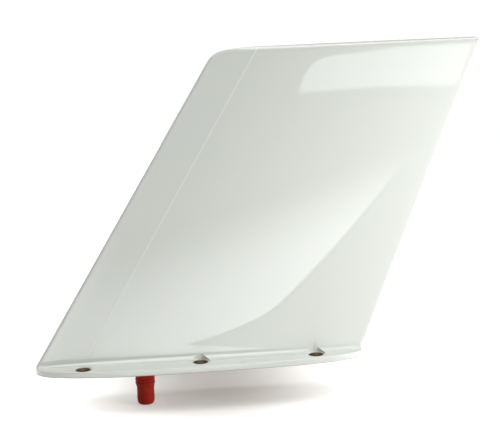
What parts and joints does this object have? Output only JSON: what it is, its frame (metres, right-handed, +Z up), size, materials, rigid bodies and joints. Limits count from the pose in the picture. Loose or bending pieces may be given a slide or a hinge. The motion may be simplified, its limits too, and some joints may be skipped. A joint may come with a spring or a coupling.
{
  "type": "blade antenna",
  "caption": "Swept airborne blade antenna on a boat-shaped flange with countersunk screw holes and a capped coaxial connector underneath.",
  "frame": {"origin": "middle of the six-screw pattern, on the mounting face under the flange", "axes": "+Z up the blade away from the mounting face, +X aft along the flange, +Y to the right-hand side"},
  "size_m": [0.2986, 0.052, 0.2318],
  "materials": {
    "flange_paint": "gloss white paint over machined aluminium",
    "shell_paint": "gloss white paint over glass-fibre shell",
    "guard_paint": "gloss white paint over metal erosion strip",
    "core_foam": "rigid closed-cell foam",
    "glass_laminate": "glass-epoxy laminate",
    "copper": "bright copper",
    "ferrite": "sintered ferrite",
    "ceramic": "fired ceramic",
    "pin_steel": "ground steel",
    "bush_metal": "turned metal with a brown conversion coat",
    "connector_nickel": "nickel plated brass",
    "insulator_plastic": "white fluoroplastic",
    "contact_gold": "gold plated contact",
    "seal_rubber": "black elastomer",
    "screw_steel": "stainless steel",
    "cap_vinyl": "soft red vinyl, satin"
  },
  "bodies": {
    "antenna": {"base_plate": "flange_paint", "radome_left": "shell_paint", "radome_right": "shell_paint", "leading_edge_guard": "guard_paint", "foam_core_left": "core_foam", "foam_core_right": "core_foam", "radiator_board": "glass_laminate", "radiator_element": "copper", "coupled_element": "copper", "feed_strap": "copper", "ground_strap": "copper", "match_core": "ferrite", "match_winding": "copper", "match_capacitor_1": "ceramic", "match_capacitor_2": "ceramic", "board_pin_1": "pin_steel", "board_pin_2": "pin_steel", "board_pin_3": "pin_steel", "mount_bush_1": "bush_metal", "mount_bush_2": "bush_metal", "mount_bush_3": "bush_metal", "mount_bush_4": "bush_metal", "mount_bush_5": "bush_metal", "mount_bush_6": "bush_metal", "connector_body": "connector_nickel", "connector_insulator": "insulator_plastic", "connector_contact": "contact_gold", "connector_seal": "seal_rubber", "connector_screw_1": "screw_steel", "connector_screw_2": "screw_steel", "connector_screw_3": "screw_steel", "connector_screw_4": "screw_steel", "base_gasket": "seal_rubber"},
    "cap": {"connector_cap": "cap_vinyl"}
  },
  "joints": [
    {"name": "cap_slide", "type": "slide", "parent": "antenna", "child": "cap", "axis": [0, 0, -1], "range_m": [0, 0.025]}
  ]
}
